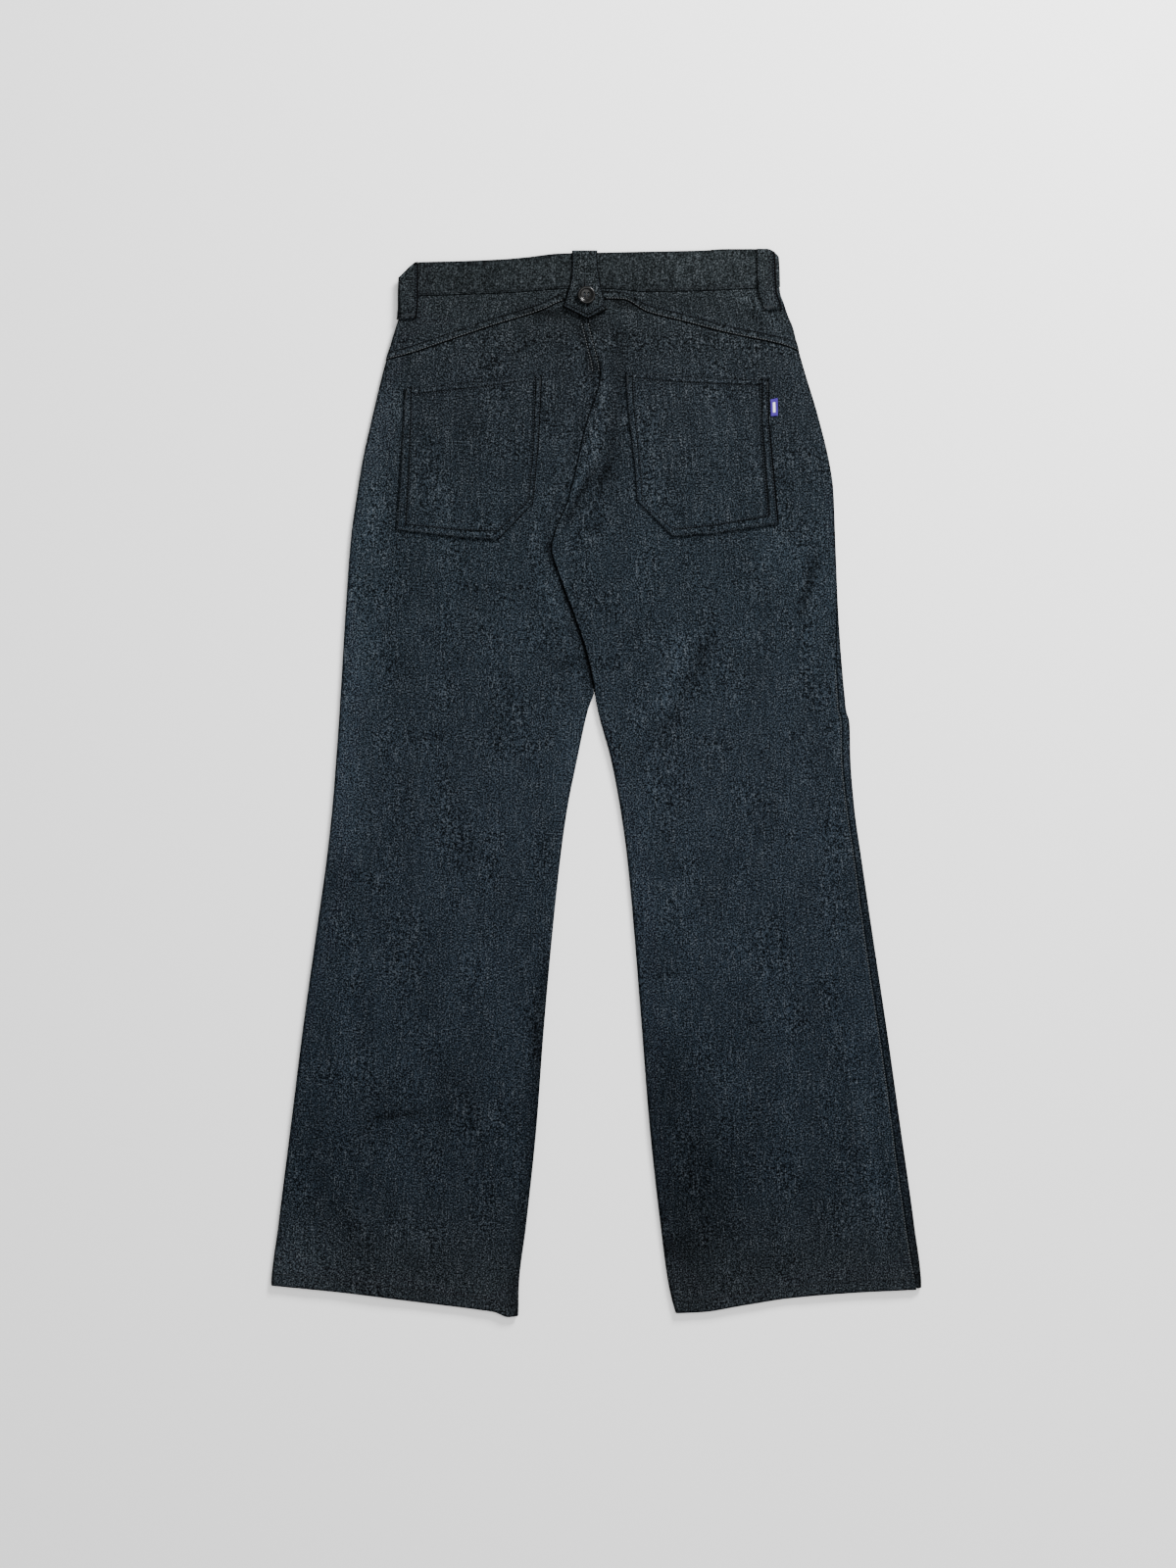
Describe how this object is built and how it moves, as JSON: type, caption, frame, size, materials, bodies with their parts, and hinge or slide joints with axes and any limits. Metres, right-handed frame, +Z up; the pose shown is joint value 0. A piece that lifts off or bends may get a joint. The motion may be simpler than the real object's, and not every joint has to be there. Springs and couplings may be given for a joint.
{
  "type": "bootcut jeans laid flat",
  "caption": "Dark denim bootcut jeans laid flat, back up, with patch pockets, pointed yoke, belt loops and a buttoned tab at the waist.",
  "frame": {"origin": "middle of the laid garment's outline, on the surface it lies on", "axes": "+Y towards the waist, +Z up, out of the back of the garment, +X to the right as the back is looked at"},
  "size_m": [0.663, 1.0892, 0.0125],
  "materials": {
    "denim": "raw dark indigo denim with pale heather flecks",
    "horn": "polished dark horn",
    "button_metal": "brushed",
    "label": "woven ribbon"
  },
  "bodies": {
    "root": {"waistband": "denim", "yoke_left": "denim", "yoke_right": "denim", "back_leg_left": "denim", "back_leg_right": "denim", "front_leg_left": "denim", "front_leg_right": "denim", "back_pocket_left": "denim", "back_pocket_right": "denim", "back_tab": "denim", "belt_loop_left": "denim", "belt_loop_right": "denim", "belt_loop_front_left": "denim", "belt_loop_front_right": "denim", "fly_strip": "denim", "back_button": "horn", "front_button": "button_metal", "side_label": "label"}
  },
  "joints": []
}
